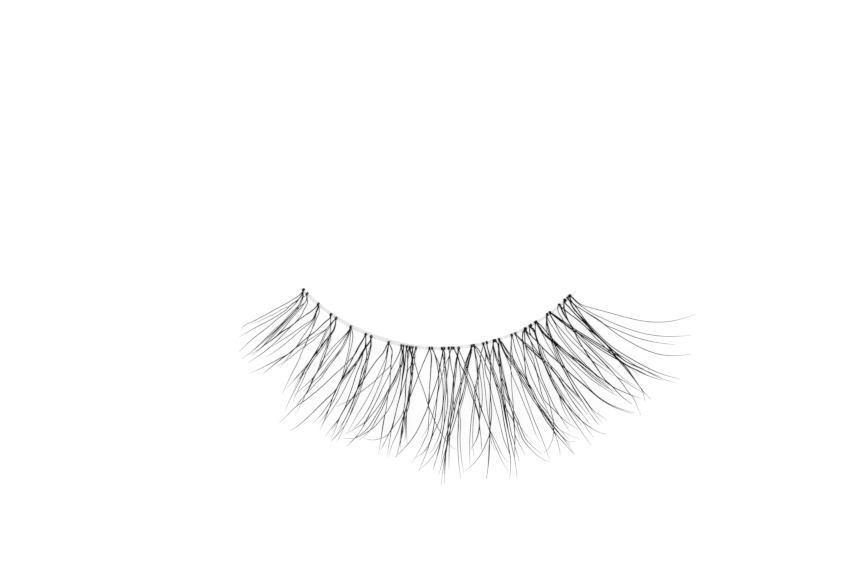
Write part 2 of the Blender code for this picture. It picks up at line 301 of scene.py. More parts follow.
one("F1", (386.6, 345.8), (384.8, 350), (378, 358.8), (371, 368.4), (365.5, 376.8), (362.4, 381.8),
    (357.5, 389), (353.4, 396.4), (347.6, 404.4), (343, 411.6), (338.2, 420.2), (331.9, 430), weight=1.4)
one("F1", (388.2, 346.6), (386.9, 354), (384.4, 361.6), (378.8, 373.6), (373, 387), (365.6, 401.3),
    (357.5, 414.6), (350.6, 427), (346.9, 433.6), weight=0.9)
one("F1", (388.4, 346.8), (387.2, 355), (385.9, 362.6), (383.5, 372), (379.5, 384.4), (372.5, 400.6),
    (366.3, 412.6), (358.8, 423.1), (352.6, 429.6))
one("F1", (388.1, 346.4), (386.6, 352), (386.6, 358), (385, 367.4), (381.6, 378.4), (376.4, 392),
    (369.4, 407.4), (362.5, 418.3), (354.6, 427.4), weight=0.9)
one("F1", (390.3, 345.8), (392.3, 351), (391.5, 356), (390.8, 364.8), (384.6, 371.2), (378.4, 377.6),
    (371, 384.2), (361.2, 391.6), (353.6, 397.8), (345, 402.5), (335, 406.9))
one("F1", (390.3, 345.8), (392.4, 351.2), (391.7, 356.4), (391, 364), (391.2, 368.6), (388.5, 376.4),
    (383, 387), (376.4, 401.2), (370.6, 412), (365, 422.1), (359.4, 432.5), (355, 437.6))
one("F1", (390.4, 346.2), (392.3, 352.2), (391.4, 360), (390.6, 370), (390.2, 380), (389.5, 388.6),
    (387.4, 398), (386.6, 406.3), (384.7, 415.6), (381.9, 431.3), (380.2, 443.8), (378.4, 455))

one("G1", (400.3, 350.4), (396.2, 359.8), (391.4, 369), (388.5, 376.2), (383.4, 386.2), (376.6, 401),
    (370.6, 411.9), (365, 421.9), (360, 425.6), (351.9, 430.6), (344.4, 433.4), weight=1.1)
pair("G1", (402.2, 351.8), (403.2, 355.4), (402.6, 359.6), (400.5, 365.4), (397.5, 372.6), (393.2, 382.6),
    (389.8, 387.6), (386, 395.4), (381, 406.6), (375, 417), (368.8, 426.9), (362.5, 433.1), (355.6, 437.6),
    (346.9, 446.3), weight=1.2)
one("G1", (402.3, 351.8), (403.3, 355), (402.6, 358.6), (400.6, 365), (398.8, 368.6), (395, 378.6),
    (389.8, 387), (386, 394), (378.8, 405.6), (370.6, 416.3), (364.1, 424.8), (359.4, 432.5),
    (352.5, 440.7), (349.4, 443.8), weight=1.1)
one("G1", (401.9, 353.6), (400.2, 360), (399.6, 366.4), (396.2, 374.6), (391.4, 385), (388.6, 391.6),
    (387.2, 401.3), (385.6, 411.6), (383.1, 426.3), (381.3, 437.5), (379.1, 450), weight=0.9)
one("G2", (402.9, 352.4), (402.6, 357.6), (400.8, 366), (400, 377), (397.6, 386.6), (393, 400.4),
    (386.9, 411.9), (381.3, 418.8), (373.8, 427.5), (366.3, 432.5), (355, 438.1), (347.5, 438.4),
    (341.9, 437.8), weight=1.1)
one("G2", (403.4, 355), (403.8, 362), (402.9, 372), (401.7, 382.6), (400.6, 392.6), (397.4, 405.6),
    (395.3, 415), (393, 424), (390.4, 430.8), (386.3, 438.8), (381.3, 448.8), weight=1.3)
one("G2", (403.3, 354), (404.2, 361), (403.4, 371), (401.9, 381), (400.9, 391.6), (397.6, 404.4),
    (395.1, 416), (391.9, 426.9), (388.1, 434.6), (381.9, 438.1), (373.8, 440), (363.8, 438.4), weight=1.1)
one("G3", (406, 351.6), (405.5, 356.4), (404.6, 367.4), (402.6, 378.6), (401, 389), (399, 399.6),
    (396.4, 409.6), (394.2, 420), (391.4, 429), (390.6, 435), (388.9, 444.4), (387.6, 455), weight=1.2)
one("G3", (407.2, 351.8), (407.7, 358), (407.4, 366), (405.7, 379), (402.4, 389.6), (400.1, 396.6),
    (396.9, 408.1), (393.8, 421.4), (392.4, 428.4), (389, 433.6), (384.4, 443.1), (382.6, 447))

one("H1", (410.3, 351.6), (411.4, 356), (411.9, 360), (411, 366), (408.6, 368.6), (407.2, 373.4),
    (404.4, 383.6), (402.4, 389.6), (400, 397), (395.4, 414.6), (393.4, 423.4), (388, 434.6), weight=1.1)
pair("H1", (410.3, 351.6), (412, 359.6), (411, 364.4), (411.4, 372), (410.5, 380.6), (409.3, 390),
    (408, 397), (407.2, 404), (404.8, 411.6), (403.2, 418), (402.6, 428), (401.4, 438), (398.5, 448.4),
    (396.4, 457.4), weight=1.3)
one("H1", (410.5, 352.4), (412.1, 359.4), (411.2, 365.4), (411.2, 374.6), (409.9, 385), (408.4, 396),
    (407.6, 402.6), (406.6, 408.6), (406.5, 415), (406.4, 425), (406.6, 436), (407.2, 444.6), weight=1.2)
one("H2", (412, 352), (411.8, 358), (411.3, 364), (410.4, 370), (410.9, 377), (409.2, 388), (408.1, 397),
    (406.9, 407), (404.9, 413.6), (404.5, 423), (402.6, 433.4), (400, 443), (398, 451))
one("H2", (412.6, 351.6), (413.7, 355), (412.6, 360.6), (413.4, 366), (411.9, 374), (409.8, 386),
    (408.9, 398.8), (405.4, 411), (401.9, 420), (398.4, 430.6), (392.5, 443.8), (388.4, 457.4), weight=1.1)
one("H1", (409, 352), (407.9, 360), (407.4, 370), (405.6, 384.6), (405.3, 396), (404.7, 405.4),
    (403.1, 411.9), (398.8, 420), (392.5, 428.3), (388.6, 434.2), (385, 441.6))
one("H1", (407.6, 351.8), (407.6, 360), (406.6, 375), (405.8, 388), (405.4, 399), (404, 408), (403.4, 418),
    (401.2, 431), (400, 441), (397.6, 453))
one("H3", (414.3, 351.6), (415, 355.4), (414.4, 360.4), (415.6, 365.4), (418.4, 376), (423, 388.4),
    (427.8, 403.8), (430.6, 411.2), (434.4, 420), (437.6, 427.3), (442.2, 434.8), (446.2, 441.6),
    (455.4, 449.6), weight=1.1)
one("H3", (415.6, 352), (413.8, 354.6), (414.8, 361), (413, 367), (412.6, 375), (410.6, 384), (408.9, 393),
    (407.6, 401), weight=0.9)

one("I1", (428, 352.4), (425, 359.2), (418.5, 375.6), (414, 387), (409.9, 397.4), (405.5, 411), (402, 430),
    (400, 450), weight=1.25)
one("I1", (430.9, 353), (430.9, 364), (430.3, 376), (429.4, 390), (428.4, 405.6), (425, 413.8),
    (415.8, 433.5), (407.2, 444.9), (399.2, 453.6))
one("I1", (431.5, 355), (431.4, 364), (430.4, 378), (428.8, 397), (428.4, 406), (429.3, 413), (428.4, 422),
    (428.4, 430), (425.4, 438), (420.3, 448.6), (412, 463))
one("I2", (434.2, 352.8), (436.2, 360), (438.2, 371.6), (438.9, 383), (437.6, 392), (436.6, 404),
    (434.8, 419), (433.4, 429), (431.4, 438), (423.3, 452.4), weight=1.25)
one("I2", (435.4, 355.6), (438.8, 364), (441.4, 374.4), (443, 385), (443.2, 396), (442.4, 408),
    (438.8, 422), (432.6, 435.6), (426.6, 449.2), (415, 458), weight=1.15)

one("J1", (442.4, 354), (440.9, 361), (440, 367.2), (437.5, 378.6), (434, 389.6), (431, 397.6),
    (428.4, 405.4), (423.3, 418), (415.4, 434), (407.2, 444.9), (395, 457), weight=1.3)
one("J1", (443, 352.4), (441.2, 360), (438.7, 375), (438.7, 384.4), (437.4, 396), (436, 410), (433.8, 426),
    (430.2, 441.6), (418.6, 471), weight=1.15)
pair("J1", (445, 353.6), (444.9, 360), (445.1, 368), (446.4, 378), (446.5, 388), (445.2, 400), (444.4, 414),
    (443.6, 428), (441, 439), (434.7, 453.2), (418.6, 471))
one("J1", (443.2, 357), (445.1, 364.8), (446.6, 380), (447.6, 396), (447, 410), (444, 424), (439.9, 446.7),
    (433.5, 467), weight=1.15)

one("K1", (449.6, 353.6), (447.6, 360), (445.2, 365), (442.2, 375), (439.6, 385.4), (437.5, 395),
    (434.4, 408), (432.6, 416), (429.4, 425), (422, 437), weight=0.9)
one("K1", (449.7, 354.4), (450.1, 358.4), (451.6, 368.8), (453.4, 377), (453.4, 393), (453.6, 404),
    (454.4, 411.6), (451.4, 425.2), (448.6, 437), (446.4, 448), (441, 485), weight=1.1)
one("K2", (450.4, 351.4), (449.5, 355), (448.6, 365), (446.7, 378), (446.6, 388), (447.8, 398),
    (446.8, 411), (444.2, 424), (441.2, 438.8), (433, 471), weight=1.1)
pair("K4", (458.4, 351), (457.3, 355.4), (455.6, 363), (454.4, 375), (453.2, 383.6), (451.8, 396),
    (450.2, 409), (448.6, 420), (448.2, 427), (447.6, 435), (446.4, 448), (444.4, 483.8), weight=1.3)
one("K4", (458.2, 351.6), (457, 357), (455.2, 367), (453.4, 380), (451.2, 402.4), (449.3, 415),
    (448, 422.8), (447.8, 437.6), (445, 452), (438.7, 475), weight=1.3)
one("K3", (454.8, 350.4), (457.4, 354.8), (459.2, 361), (462, 368), (464.8, 372.4), (467.6, 383),
    (471.4, 395.2), (474, 402), (478.4, 416), (479.4, 425), (477.6, 437), (472.5, 447), weight=1.15)
one("K3", (454.8, 350.6), (457, 354.8), (459, 361.6), (463, 370), (466.6, 377), (470, 385), (472.4, 393),
    (475.6, 404), (479, 417), (479.6, 427), (481, 437.6), (481, 449), weight=1.15)
one("K3", (455, 351), (457.6, 356.6), (459.4, 363), (460, 370), (460.8, 378), (461, 388.6), (458.8, 406),
    (458.5, 420), (458, 430), (458.2, 456), (460.8, 479.6))
one("K4", (459.8, 352), (462.6, 358.4), (465.2, 364.6), (467.2, 369.6), (469.4, 374.8), (473.4, 385),
    (476.6, 394.8), (479.3, 401.6), (481.6, 409), (489.4, 429), (495.4, 440.8), (499, 448.4),
    (502.6, 455.6), (505, 458.8), (508.6, 462.6))
one("K4", (460, 352.4), (464.2, 362), (469.2, 374.6), (475, 388.8), (479.4, 402), (483, 413.2),
    (489.6, 430), (493.4, 441.2), (497, 450), (500.6, 458), (503.4, 463.6), (509, 471.8))

pair("M1", (470.7, 349.6), (468.2, 358), (466, 366), (464.6, 374), (461.6, 384), (459.6, 391.6),
    (456.8, 400.8), (454.4, 411.8), (451.4, 425.2), (448, 438.6), (444, 474), weight=1.3)
one("M1", (471.7, 350.6), (469.6, 358.6), (467.2, 366.8), (465.6, 378), (464, 389.2), (461.6, 396.8),
    (458.3, 408.8), (455.6, 419), (452.2, 430), (449, 439), (446.5, 452.5), weight=1.2)
pair("M1", (471.1, 351.4), (468.8, 359.8), (466.4, 370), (465, 384), (463, 393.2), (460.4, 403), (458, 411),
    (458.6, 420), (458.1, 432), (458, 452), (460.8, 479.6))
one("M1", (470.2, 356), (468.2, 364), (467.8, 370), (470.6, 378), (475, 388.8), (478, 398), (479.6, 405),
    (481.8, 411), (487, 423.5), (489.6, 432), (491.4, 442.4), (495.4, 451.2))
pair("M2", (474.4, 351.2), (475.6, 358), (476.4, 367), (477.5, 375), (475.2, 387), (474.2, 396),
    (473.4, 404), (471.4, 419), (470.3, 431), (469.7, 442), (470, 466))
one("M2", (474.6, 352), (476.6, 358.4), (477.4, 366), (477.8, 377), (478.8, 390), (479.3, 402),
    (479.4, 412), (479.4, 424), (480.6, 434), (482, 452))
one("M2", (476.4, 350), (478.4, 353.6), (480.4, 358.6), (480.6, 362), (479.4, 368), (479.6, 373),
    (481.2, 382), (482.1, 392), (482.2, 401), (480.6, 413), (479.3, 422), (478.2, 433), (475, 442),
    (470.6, 449.6))
one("M2", (476.8, 347.6), (480.2, 352), (481.8, 355.4), (484.8, 361), (485.9, 365), (489, 370.6),
    (490.6, 378), (490, 385), (490.2, 395), (489.6, 410), (490.2, 426), (489.8, 433), (486.2, 443.2),
    (482.4, 451.6), (478.6, 457.6), (472.6, 464.8), (465.5, 470.6), weight=1.2)
one("M2", (476.4, 350), (480.2, 357.6), (482.4, 364.4), (483.4, 374), (485, 388), (486.4, 402), (488, 415),
    (490, 428), (490, 434), (489, 446), (488.5, 456), (488, 466), (486.4, 478))

one("N1", (483.2, 346), (481.8, 350.6), (480.6, 356), (480.2, 362.6), (478.4, 369), (477.4, 378),
    (475.2, 388), (473.8, 400), (472.2, 412), (470.4, 429), (469.7, 442), (470, 464))
one("N1", (484, 346.6), (485.8, 353), (485.2, 361.6), (484.8, 368), (486.5, 376), (489.4, 384),
    (490.3, 394), (491.6, 408), (491.4, 418), (490.2, 428), (489.6, 436), (489.6, 448), (486.4, 479.4),
    weight=1.2)
pair("N1", (484, 346.6), (485.6, 352), (486.2, 356.4), (489, 361.2), (490.8, 367), (493.3, 376),
    (495.4, 382.6), (499.8, 397.6), (502.4, 412), (504.8, 426), (507.4, 440), (509.2, 450.4),
    (510.4, 457.2), (510.6, 464), (510.4, 472), (509.3, 478.6), weight=1.2)
one("N2", (487, 346), (488.6, 351.4), (490.2, 357), (490.3, 362), (490.8, 368), (492.6, 372.6),
    (494.3, 379.4), (497.6, 390), (499.6, 397.4), (501.4, 406), (504, 422), (507.4, 440), (509.2, 450.4),
    (510.4, 457.2), (510.6, 464), (510.4, 472), (509.3, 478.6), weight=1.3)
one("N2", (487.2, 347), (489.8, 355), (490.6, 365), (492.8, 373.4), (495.6, 382.6), (499, 389),
    (502.2, 394.4), (505, 398), (508.6, 403.4), (511.4, 409), (513.6, 415), (513.8, 423), (514.6, 432),
    (514.5, 458))
one("N2", (487.4, 348), (489.2, 355), (490.2, 363), (490.6, 374), (490.2, 384), (491.6, 393), (496, 410),
    (500, 424), (504.2, 440.8), (507, 447.6), (509.4, 452.8), (510.5, 460), (510.5, 470))

one("O1", (493, 344), (491.9, 350), (490.6, 356), (490.3, 362), (491.2, 369), (493.8, 378), (497.6, 390),
    (500.7, 401), (503, 417), (506, 433), (508.4, 444.6), (509.8, 454), (510.6, 464), (510.6, 470))
one("O1", (493.1, 346.4), (493.4, 353), (493.7, 359), (492.9, 365.4), (494.2, 370.6), (497, 377.2),
    (499.2, 384.8), (502.2, 394), (504, 403), (506.4, 417), (508.4, 431), (510.8, 440.8), (512.6, 450),
    (514.4, 457.2), (515.4, 464.8), (516.4, 470.4), (517, 478.6))
pair("O1", (493.1, 345.6), (494.2, 351), (496.3, 359.6), (498.6, 365), (500.2, 373), (501.4, 388),
    (503.3, 401), (505, 412), (507.4, 424), (509.4, 436), (510.8, 440.8), (512.6, 450), (514.4, 457.2),
    (515.4, 464.8), (516.4, 470.4), (517, 478.6), weight=1.2)
pair("O2", (497.4, 342.8), (498.7, 347), (498.3, 352), (499.1, 360), (499, 365), (500.2, 373), (500.9, 379),
    (503.4, 384.2), (505.5, 392), (508.6, 400.2), (511.4, 409), (514.3, 417), (516.8, 422), (518, 427.5),
    (519.5, 431), (522.3, 438.4), (526.4, 444.4), (532.8, 451.2), (538.4, 456.4), (544, 459.8), (550, 462),
    weight=1.2)
one("O2", (497.2, 342.6), (498.5, 347), (498.4, 354), (499.2, 361), (499.4, 369), (500.7, 377),
    (501.2, 387), (503.2, 400.6), (508.6, 413), (513.2, 420.5), (514.5, 427.5), (514.6, 432.5),
    (515.4, 436.5), (518.8, 443), (521.4, 448), (525.2, 454.4), weight=1.3)
one("O3", (498.9, 344.6), (499.6, 352), (500.6, 361), (502.2, 371), (504.7, 381), (507, 391), (509.2, 402),
    (512.6, 414), (514.3, 424), (517, 430.4), (519.5, 436), (520.2, 441))
one("O3", (499.4, 350), (501.4, 362), (505.6, 382), (509, 398), (511.3, 410), (514.3, 417), (519, 424.5),
    (523.2, 430.4), (527.6, 436.2), (532.4, 440.4), weight=0.8)
pair("O3", (501, 341.6), (505, 348.4), (510.2, 356.4), (513.6, 361.8), (516, 367), (521, 373.5),
    (527.7, 385), (530.8, 389.6), (537, 402.4), (544, 411.6), (550, 420.6), (553.6, 427), (560.2, 434.8),
    (574.5, 454.5), weight=1.2)
pair("O3", (501.6, 345.6), (502.8, 349.6), (505.2, 354.8), (511, 362.6), (515.4, 368.8), (520.4, 379),
    (526, 388), (532.5, 399), (540, 410), (546, 420.4), (553.2, 430), (559.4, 438.2), (564.6, 443.8),
    (570.4, 450.4), (575.2, 454.8), weight=1.3)
one("O3", (501.4, 345), (502.6, 349), (505, 354.6), (507.4, 360), (510.4, 368), (511.6, 373.4),
    (516.4, 385), (521, 396), (526, 408.4), (531.6, 422.4), (534.4, 430.8), (540.1, 441.9))
one("O3", (503.2, 350.4), (511.2, 363), (517, 372), (520.7, 381), (525, 394.5), (530, 408.8),
    (535.4, 423.2), (539.5, 432.5), (541.6, 437.6), (544.8, 446), (546.6, 450.8), (548, 455.6),
    (550, 459.6))

one("Q1", (511.2, 342), (510.7, 350), (510.8, 364), (511.2, 376), (511.8, 388), (513, 402), (513.6, 412),
    (514.6, 430), (514.5, 457))
one("Q1", (511.4, 341), (511.6, 350), (513, 358), (516.2, 367.4), (523.5, 378), (530, 388), (536.8, 402),
    (542.4, 410.6), (549.6, 420.6), (555.5, 425.4), (560, 430), (566.5, 433.5), (572, 436.4),
    (579.6, 438.6), weight=0.9)
one("Q1", (513, 338.6), (514.2, 345), (517, 354), (521.5, 366), (525.4, 376.4), (530.5, 388.6), (537, 403),
    (545.2, 416.2), (552.6, 424.6), (555.6, 429.2), (560, 434.3), (563.8, 438.6), (567, 441), (571, 441.7),
    (575.6, 441.4))
one("Q2", (516.8, 338.6), (520, 347), (523.4, 357), (525.3, 365), (525.8, 374), (528.6, 383), (533, 394),
    (538, 405), (548, 423.6), (554, 432), (556.2, 437.6), (558.2, 443.8), (559.6, 449), (560.4, 455.2))
pair("Q2", (518.5, 337.6), (524.6, 343.8), (530.3, 348.6), (541.4, 359.4), (549, 366.2), (557.4, 375.8),
    (563.2, 384.6), (571, 394.5), (581, 406.5), (587.7, 414.9), weight=1.2)
one("Q2", (518.5, 337.8), (524.6, 344), (541.4, 359.8), (549, 366.6), (557.4, 376.2), (564, 382),
    (573.5, 391.7), (579.5, 397.5), (586, 407.5), (599.3, 425))
one("Q2", (518.8, 338), (530.6, 349), (549.4, 367), (557.2, 376.4), (562.4, 385), (568, 394),
    (574.5, 404.5), (582, 414), (588.9, 422.5), weight=0.9)

one("S1", (526.8, 331.5), (528.9, 333.8), (533, 337.5), (540.5, 345.3), (550, 354.7), (558.8, 362),
    (568, 371.2), (585, 385.5), (600.5, 398.5), (616, 407), (635.4, 413), weight=1.2)
one("S1", (524.6, 334), (524.9, 340), (525.4, 345.5), (529.3, 356.6), (534.3, 366.5), (536.8, 373),
    (539, 382), (541.6, 393.4), (544.6, 400.6), (550, 406), (558.5, 414.5), (566, 421.5), (579, 429.6),
    weight=1.2)
one("S1", (525, 342), (526.2, 347), (531.5, 354.7), (533.9, 361.5), (538.3, 376), (542, 384), (546, 392),
    (550, 405), (552.2, 415.4), (553.6, 421), (553.7, 431), (553.2, 436.4), (551.6, 442.4), (548, 448.8),
    (542.4, 454), weight=1.1)
one("S1", (527.4, 334), (530.3, 340.3), (532, 345.3), (534.8, 355), (537.8, 364), (541, 376), (545.5, 387),
    (549.5, 396), (553.5, 405), (558.6, 414), (564, 422.5), (569.9, 431.9), weight=1.2)
one("S1", (523.2, 331), (522.6, 339), (523.7, 345.5), (524.3, 354), (526.7, 363), (531, 376), (537.5, 390),
    (540.5, 396), (544.5, 404), (547.2, 409.4), (550, 419), weight=1.1)
one("S1", (523, 333), (523.5, 348), (524.8, 360), (525.8, 374), (530.5, 388), (537, 403), (545, 416),
    (553, 428), (555.6, 435.6), (557.6, 441.8), (559.2, 448), (560.4, 455), weight=1.2)
one("S1", (527, 334.5), (530.8, 341), (534.8, 348), (540.4, 356), (545, 366.3), (552, 382.2), (560, 395.5),
    (571, 409.3), (580, 419.4), (588, 425.6), (600, 432.7), (607.3, 434.2), weight=1.3)

one("T1", (529.5, 331), (531, 335.6), (535.5, 339.8), (541, 346), (551, 356), (558.6, 362.4),
    (568.2, 371.8), (585, 386.2), (600.5, 399.2), (616, 408), (633, 414), weight=1.25)
one("T1", (530.2, 334.5), (537.4, 341.7), (541.8, 347), (544, 354), (548, 361.5), (553, 370), (558, 377),
    (564.5, 388), (572, 400.5), (579.5, 410.5), (590, 424.5), weight=1.1)
one("T1", (532.2, 327.4), (534.3, 331.8), (535.7, 337), (537.6, 343), (539.1, 351.5), (543.4, 362.5),
    (548.9, 373.6), (555.4, 388.6), (563.8, 401), (572.5, 411.3), (582, 421), (588, 430), (593.5, 437.3),
    weight=1.15)
pair("T1", (532.6, 328), (535.5, 336), (537.9, 344.6), (542.9, 360.5), (547.6, 370.6), (553.2, 385),
    (558.8, 394.6), (562.6, 402), (569.5, 414), (578, 426.6), (590.9, 445.4), weight=1.2)
one("T1", (534.6, 333), (537.5, 341.5), (540.6, 355.4), (546, 367.6), (551.2, 380.4), (557.6, 391.6),
    (562, 405.5), (566, 415), (570.5, 422.4), weight=1.1)

one("U1", (535.4, 325), (535.4, 331), (537.2, 340.6), (538.9, 350), (544, 364.5), (550.6, 376),
    (556, 383.5), (562, 393), (568, 401.6), (573, 409), (581, 417.5), weight=0.9)
one("U1", (535.4, 325.4), (535.2, 330), (535.9, 336.5), (537.7, 344), (540.3, 355), (547.9, 371.6),
    (559, 394.6), (571.3, 409.5), (581, 420.4), (594, 430), weight=1.1)
one("U1", (538.2, 322.8), (540.6, 325), (545.5, 330.8), (551, 337.2), (557.5, 343.7), (570, 354.6),
    (580, 361.8), (590.5, 370.5), (602, 379), (613, 386.8), (618, 389.4), (628, 393.7), (641.1, 398.4),
    weight=1.2)
pair("U1", (537.6, 323.6), (541.5, 329.6), (547.3, 336.2), (554.5, 341.8), (563, 349.4), (575, 358.8),
    (586, 367.2), (600, 377.8), (613, 387.4), (617.5, 392.3), (622, 396.5), (632, 404.3), weight=1.3)
one("U1", (537.4, 325), (539.7, 328.6), (546, 335.5), (555.5, 343.6), (566, 351.9), (574, 359.2),
    (586, 371.3), (602, 384.5), (609, 388.7), (617, 392.5), weight=1.2)
one("U1", (539.7, 328.6), (547, 336.4), (553, 342.5), (561.5, 351.2), (570, 360), (585, 374), (595, 382),
    (604, 388), (612, 393), (619.5, 396.7))
one("U1", (538, 326.3), (541.8, 332.7), (546.3, 342), (553.5, 353.9), (560, 363.6), (566.5, 374),
    (573.5, 388.5), (581.5, 400), (592, 416.5), (598, 424.3))

one("V1", (546.4, 319), (546.1, 324.4), (546.5, 331), (550.8, 341), (556.2, 356.5), (561.5, 366.5),
    (568.5, 378.5), (575.5, 391.6), (581.8, 400.3), (590.5, 414.2), (596, 421.3), weight=0.9)
pair("V1", (546.8, 319.5), (549.8, 332), (555, 345.5), (558.6, 354.3), (563, 364.2), (571.7, 380.3),
    (580, 392.7), (588, 403.7), (592.5, 409.6), (599, 414.6), (607.5, 420.5), weight=1.2)
one("V1", (547, 320), (550.2, 333), (555.4, 345.8), (560, 357), (565.5, 368.5), (572, 380.3), (585, 400.3),
    (592.5, 411), (597, 417), (602.3, 423), weight=1.2)
one("V1", (547.2, 321), (551.5, 338), (555.4, 346.4), (562.5, 356), (570, 365.4), (576, 372), (586, 384),
    (590.5, 389.4), (600.5, 398.5))
one("V1", (547.4, 317.4), (552.4, 326.5), (558.3, 335.4), (563.5, 342.3), (570, 350.4), (577.5, 358.7),
    (592, 371.8), (600, 379.4), (609, 386))
pair("V2", (551.8, 313.6), (560.2, 320.2), (564.3, 323.4), (576, 331.6), (583, 335.9), (596, 344.2),
    (608, 351.8), (618, 358.8), (625, 364.2), (639.5, 371.2), (648, 375.6), (656, 378.6), weight=1.6)
one("V2", (552, 314.2), (560, 320.8), (569.5, 327.4), (583, 337.2), (597, 347.2), (612, 356.6),
    (620, 361.2), (634, 369), (648, 376), weight=1.4)
one("V2", (555, 316.6), (564.2, 324), (574.5, 332.6), (586, 344.6), (601, 360), (613, 372.8), (624, 385.8),
    (628.4, 392.2), (632.4, 396.4), (636, 403.5), (641, 415.6), weight=1.15)
one("V2", (550.9, 316.4), (555, 323.4), (558.6, 330.8), (568, 344.8), (577.5, 356), (587.5, 366.5),
    (600, 377.6), (612, 386.4), (617.5, 392.4), (632, 404), weight=1.15)
one("V2", (551.6, 317), (559.5, 327.7), (572, 341.8), (585.5, 354.6), (593.5, 361.8), (601, 367),
    (606, 370.6), (614, 376), weight=1.1)

one("X1", (560.4, 306.3), (564.7, 309.8), (571, 315), (577.5, 319.5), (584, 325.5), (597, 336),
    (610, 348.3), (617, 357.6), (624.5, 363.6), (631.5, 367.6), (642, 373.2), (652, 377.4), weight=1.5)
one("X1", (560.8, 306.8), (566, 311), (577, 319.6), (589, 330.4), (592.8, 335), (600, 342.2),
    (609.5, 351.8), (619, 360.5), (626, 365.2), (632, 369.2), (638.5, 375.5), weight=1.2)
one("X1", (557.7, 308), (558.5, 312.5), (563.4, 320.2), (565.2, 327), (571, 335.3), (580, 345),
    (588.5, 352.8), (596.7, 359.7), (608, 368.3), (615.5, 372.7))
one("X1", (560.4, 307), (562.5, 312), (568.5, 321.4), (573.6, 330.3), (577.6, 338.8), (581.8, 345.8),
    (588.3, 355.4), (594, 363.4), (600.3, 373.2), (605.4, 380.2), (612.3, 386.2), (617.5, 392.4),
    (632, 404), weight=1.4)
one("X1", (560.6, 306.8), (563.3, 312), (570.3, 324.3), (575.8, 333.4), (586.3, 344.4), (601.5, 360),
    (608.5, 367.3), (618.6, 378.2), (625, 381.6), (635, 388.2), (645, 394), weight=1.1)

one("Y1", (564.2, 302.4), (563.5, 304.8), (565.8, 314.5), (569.7, 323.5), (574.3, 332), (581.2, 344.8),
    (589.2, 357.5), (595.5, 366.3), (605, 379.8), (612.5, 386.6), (618, 389.6), (628, 394), (636, 397.4),
    weight=1.2)
one("Y1", (564, 303), (565.2, 311.8), (570.3, 323.8), (577.5, 332.4), (588, 344), (604, 359.6),
    (616, 371.5), (624.8, 379.4), (635.5, 386), weight=0.95)
one("Y1", (564.6, 302.4), (568.5, 306.6), (573.3, 312.2), (584.5, 323), (596, 335), (606, 344.2),
    (613, 353.6), (625, 365.9), (635, 380), (641.3, 388.8), (650.9, 399.5), weight=1.6)
one("Y2", (568.5, 299.3), (572.6, 307.5), (582.5, 318.2), (594, 332.6), (608, 346.3), (617.3, 358),
    (631.5, 367.6), (648, 375.7), (664, 380.6), weight=1.5)
one("Y2", (568.7, 299.5), (571.5, 304.8), (579, 314.6), (595, 333.6), (609.5, 347.6), (618.8, 355.6),
    (625, 360.8), (638, 367.3), (648, 371.7), (662, 377.4), weight=1.5)
one("Y2", (569, 299.9), (572, 305.8), (577, 312.7), (596, 335.2), (607, 345.2), (612.5, 353), (624, 366.7),
    (637, 383), (642.8, 392), (645, 402), weight=1.5)
one("Y3", (570.6, 301), (572, 306), (580, 315.8), (591.5, 328.7), (604, 341.6), (610.5, 347.8), (618, 354),
    (626, 358.8), (634, 364.6), (645, 370.5), (658, 377), (676, 383), weight=1.15)
one("Y3", (571, 300.5), (575.3, 306), (583, 317), (590, 325.6), (597, 332.8), (610, 345.2), (625, 355.2),
    (637, 362.2), (646, 367), (660, 373.4), (680, 379), weight=1.4)
one("Y3", (571.3, 301.3), (574.5, 304.6), (581.5, 309.2), (590.5, 314.8), (598.5, 319.6), (606, 325.2),
    (612.5, 328), (631.5, 335.9), (643.5, 339.6), (657, 342.5), (675.7, 344.8), weight=1.1)
one("Y3", (571, 301.6), (574.2, 304.8), (580.5, 308.6), (590, 315), (598, 320), (606.5, 326.2), (617, 334),
    (630, 342), (641.5, 348), (656.2, 353.6), (668.8, 355.6), (680, 355.4), (691.8, 354), weight=1.2)
one("Y3", (572.8, 297.6), (576.6, 301.3), (581.2, 304.7), (586.5, 306.6), (600, 310.2), (617.4, 315),
    (643, 321), (668.8, 321.5), (695.8, 314.4))
one("Y3", (572, 297.6), (576, 301.8), (581.5, 306.2), (592, 313.3), (600.3, 317.2), (612, 322.6),
    (631, 329.8), (643, 333.3), (657, 335.7), (671, 336.6), (691.8, 335))

# The camera's axes, and the point on the surface at the middle of the photograph.
RIGHT = Vector((math.cos(YAW), math.sin(YAW), 0))
LEVEL = Vector((-math.sin(YAW), math.cos(YAW), 0))
AHEAD = LEVEL * math.cos(ELEVATION) - UP * math.sin(ELEVATION)
ABOVE = RIGHT.cross(AHEAD)
TARGET = (
    RIGHT * (PHOTO_WIDTH / 2 - ORIGIN_PIXEL[0]) * PIXEL
    + LEVEL * (ORIGIN_PIXEL[1] - PHOTO_HEIGHT / 2) * PIXEL / math.sin(ELEVATION)
)
EYE = TARGET - AHEAD * CAMERA_DISTANCE


def make_camera():
    data = bpy.data.cameras.new("camera")
    data.sensor_width = SENSOR_WIDTH
    data.lens = SENSOR_WIDTH * CAMERA_DISTANCE / (PHOTO_WIDTH * PIXEL)
    data.clip_start = NEAREST
    data.clip_end = FARTHEST
    camera = bpy.data.objects.new("camera", data)
    camera.location = EYE
    camera.rotation_euler = Euler((math.pi / 2 - ELEVATION, 0, YAW))
    bpy.context.scene.collection.objects.link(camera)
    bpy.context.scene.camera = camera


def sight(x, y):
    """Direction of the line of sight through a pixel, scaled to reach the photograph's plane."""
    across = (x - PHOTO_WIDTH / 2) * PIXEL
    upward = (PHOTO_HEIGHT / 2 - y) * PIXEL
    return AHEAD * CAMERA_DISTANCE + RIGHT * across + ABOVE * upward


def at_height(along, height):
    """The point of a line of sight at a height above the surface."""
    return EYE + along * ((height - EYE.z) / along.z)


